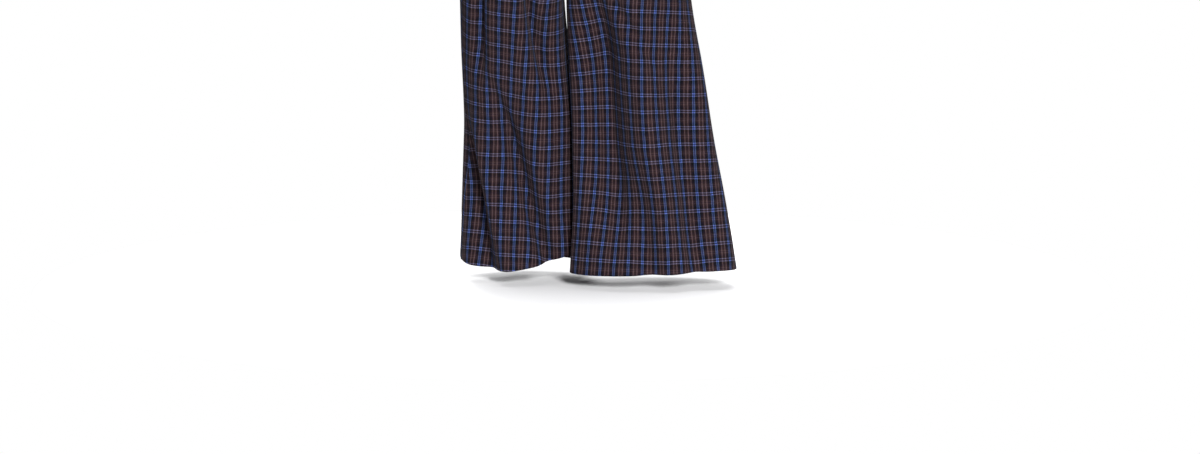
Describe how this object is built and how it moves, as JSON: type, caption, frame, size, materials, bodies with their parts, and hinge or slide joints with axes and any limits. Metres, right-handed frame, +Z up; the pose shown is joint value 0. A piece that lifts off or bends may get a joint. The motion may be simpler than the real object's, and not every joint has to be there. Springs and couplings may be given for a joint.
{
  "type": "plaid wide-leg trousers",
  "caption": "Wide-leg trousers in a brushed check cloth, held in a worn walking pose, with a lapped waistband, a fly and flared hems.",
  "frame": {"origin": "middle of the waist opening, at the top edge of the waistband", "axes": "+Z up, -Y towards the front of the garment, +X towards the wearer's left; the left leg is forward and the right leg trails"},
  "size_m": [0.3887, 0.325, 1.0388],
  "materials": {
    "check_cloth": "brushed dark brown, navy and blue check",
    "button": "dark horn-like plastic"
  },
  "bodies": {
    "root": {"front_left": "check_cloth", "front_right": "check_cloth", "back_left": "check_cloth", "back_right": "check_cloth", "waistband": "check_cloth", "fly_shield": "check_cloth", "button": "button"}
  },
  "joints": []
}
